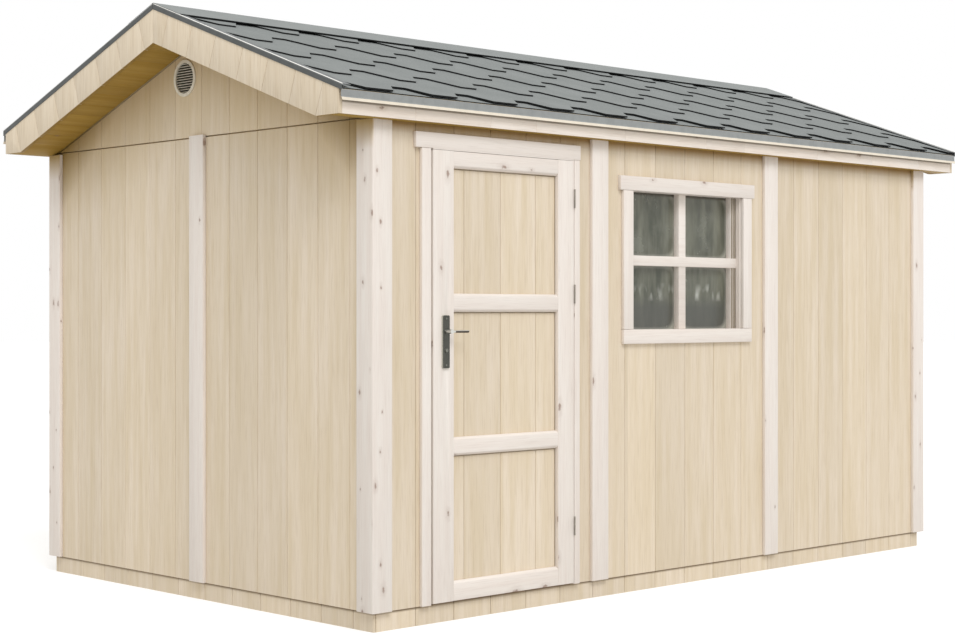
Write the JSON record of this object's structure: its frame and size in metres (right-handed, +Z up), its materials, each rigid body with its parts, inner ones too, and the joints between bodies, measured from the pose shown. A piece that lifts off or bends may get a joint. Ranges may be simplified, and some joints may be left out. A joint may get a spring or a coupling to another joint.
{
  "type": "wooden garden shed",
  "caption": "Wooden garden shed with a gable roof, vertical board walls, a framed outward door with lever handle, and a barred window.",
  "frame": {"origin": "on the ground under the middle of the shed", "axes": "+X along the front wall from the door to the blank panel, -Y out of the front, +Z up"},
  "size_m": [4.36, 2.572, 2.6098],
  "materials": {
    "cladding": "pale planed softwood boards, bare, with soft upright grain",
    "trim": "whiter planed softwood with small knots",
    "framing": "plain sawn softwood",
    "soffit": "planed softwood boards, warm in the shade",
    "felt": "bitumen felt with mid grey mineral granules and dark cut edges",
    "flashing": "folded sheet metal, satin grey",
    "hardware": "dark satin steel",
    "glass": "clear sheet glass",
    "vent": "pale moulded plastic"
  },
  "bodies": {
    "shed": {"base_bearers": "cladding", "floor_joists": "framing", "floor_boards": "framing", "front_wall_left": "cladding", "front_wall_over_door": "cladding", "front_wall_by_door": "cladding", "front_wall_window": "cladding", "front_wall_right": "cladding", "back_wall": "cladding", "left_wall": "cladding", "right_wall": "cladding", "left_gable": "cladding", "right_gable": "cladding", "front_studs": "framing", "back_studs": "framing", "end_studs": "framing", "top_plates": "framing", "sole_plates": "framing", "corner_trims": "trim", "wall_battens": "trim", "door_posts": "framing", "door_lintel": "framing", "door_stops": "trim", "door_threshold": "framing", "door_trims": "trim", "door_hinges_frame": "hardware", "window_lining": "trim", "window_trims": "trim", "window_bars": "trim", "window_glass": "glass", "gable_vents": "vent", "ridge_beam": "framing", "rafters": "framing", "roof_deck": "soffit", "eave_soffits": "soffit", "gable_soffits": "soffit", "fascias": "trim", "bargeboards": "trim", "roof_shingles": "felt", "ridge_cap": "felt", "eave_flashings": "flashing", "verge_flashings": "flashing"},
    "door": {"door_boards": "cladding", "door_stiles": "trim", "door_rails": "trim", "door_lock_plates": "hardware", "door_hinges_leaf": "hardware"},
    "lever": {"door_lever": "hardware"}
  },
  "joints": [
    {"name": "door_swing", "type": "hinge", "parent": "shed", "child": "door", "pos_m": [-0.8085, -1.2215, 1], "axis": [0, 0, 1], "range_deg": [0, 110]},
    {"name": "lever_turn", "type": "hinge", "parent": "door", "child": "lever", "pos_m": [-1.579, -1.2, 1.189], "axis": [0, 1, 0], "range_deg": [0, 40], "stiffness_Nm_per_rad": 1.2, "springref_deg": -17.19}
  ]
}
